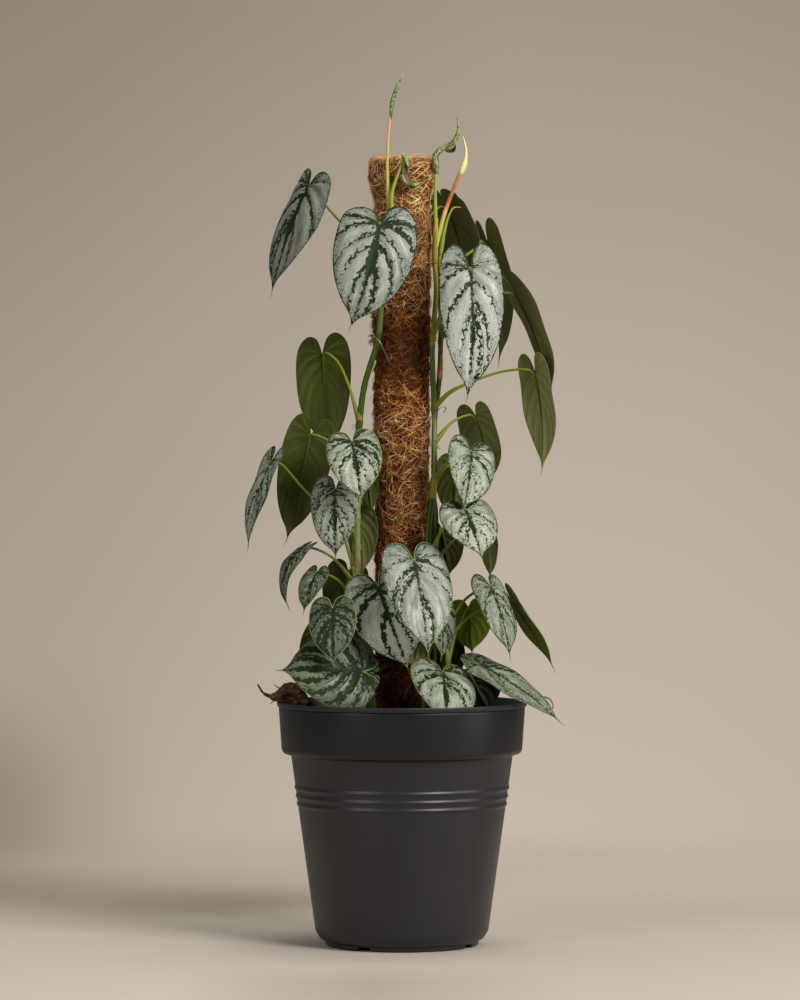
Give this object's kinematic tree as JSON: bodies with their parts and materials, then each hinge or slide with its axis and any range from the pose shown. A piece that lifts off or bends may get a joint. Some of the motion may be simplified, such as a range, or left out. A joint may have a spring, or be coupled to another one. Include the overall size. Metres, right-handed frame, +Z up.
{
  "type": "potted silver leaf philodendron",
  "caption": "Climbing house plant with heart-shaped, silver-patterned leaves on slender stems, pinned to a coir pole in a plain round nursery pot full of soil.",
  "frame": {"origin": "on the pot's axis, at the level of the surface it stands on", "axes": "+Z up along the coir pole, -Y towards the viewer of the picture, +X to the viewer's right"},
  "size_m": [0.3305, 0.263, 0.9171],
  "materials": {
    "pot": "moulded plastic, nearly black, softly satin with a fine grain",
    "soil": "dark peaty potting mix with bark crumbs",
    "stake": "plain round wooden stake inside the coir",
    "coir": "matted brown coir fibre with loose straw-coloured hairs",
    "stem": "smooth green climbing stems with brown nodes and dry sheaths",
    "shoot": "yellow-green and orange-pink young stalks with rolled young leaves",
    "leaf": "satin silver-grey over dark green, jagged green bands along the veins, olive green below",
    "pin": "plain dull wire",
    "bark": "dry curled bark, matt brown"
  },
  "bodies": {
    "root": {"pot": "pot", "soil": "soil", "pole_core": "stake", "coir_sleeve": "coir", "vine_left": "stem", "vine_right": "stem", "vine_right_rear": "stem", "vine_back": "stem", "vine_left_low": "stem", "vine_base": "stem", "shoot_tall": "shoot", "shoot_curled": "shoot", "shoot_hooked": "shoot", "shoot_pale": "shoot", "shoot_sheath": "shoot", "leaf_01": "leaf", "leaf_02": "leaf", "leaf_03": "leaf", "leaf_04": "leaf", "leaf_05": "leaf", "leaf_06": "leaf", "leaf_07": "leaf", "leaf_08": "leaf", "leaf_09": "leaf", "leaf_10": "leaf", "leaf_11": "leaf", "leaf_12": "leaf", "leaf_13": "leaf", "leaf_14": "leaf", "leaf_15": "leaf", "leaf_16": "leaf", "leaf_17": "leaf", "leaf_18": "leaf", "leaf_19": "leaf", "leaf_20": "leaf", "leaf_21": "leaf", "leaf_22": "leaf", "leaf_23": "leaf", "leaf_24": "leaf", "leaf_25": "leaf", "leaf_26": "leaf", "leaf_27": "leaf", "leaf_28": "leaf", "leaf_29": "leaf", "leaf_30": "leaf", "leaf_31": "leaf", "leaf_32": "leaf", "leaf_33": "leaf", "leaf_34": "leaf", "leaf_35": "leaf", "leaf_36": "leaf", "leaf_37": "leaf", "leaf_38": "leaf", "leaf_39": "leaf", "leaf_40": "leaf", "leaf_41": "leaf", "pin_right": "pin", "pin_left": "pin", "bark_scrap": "bark"}
  },
  "joints": []
}
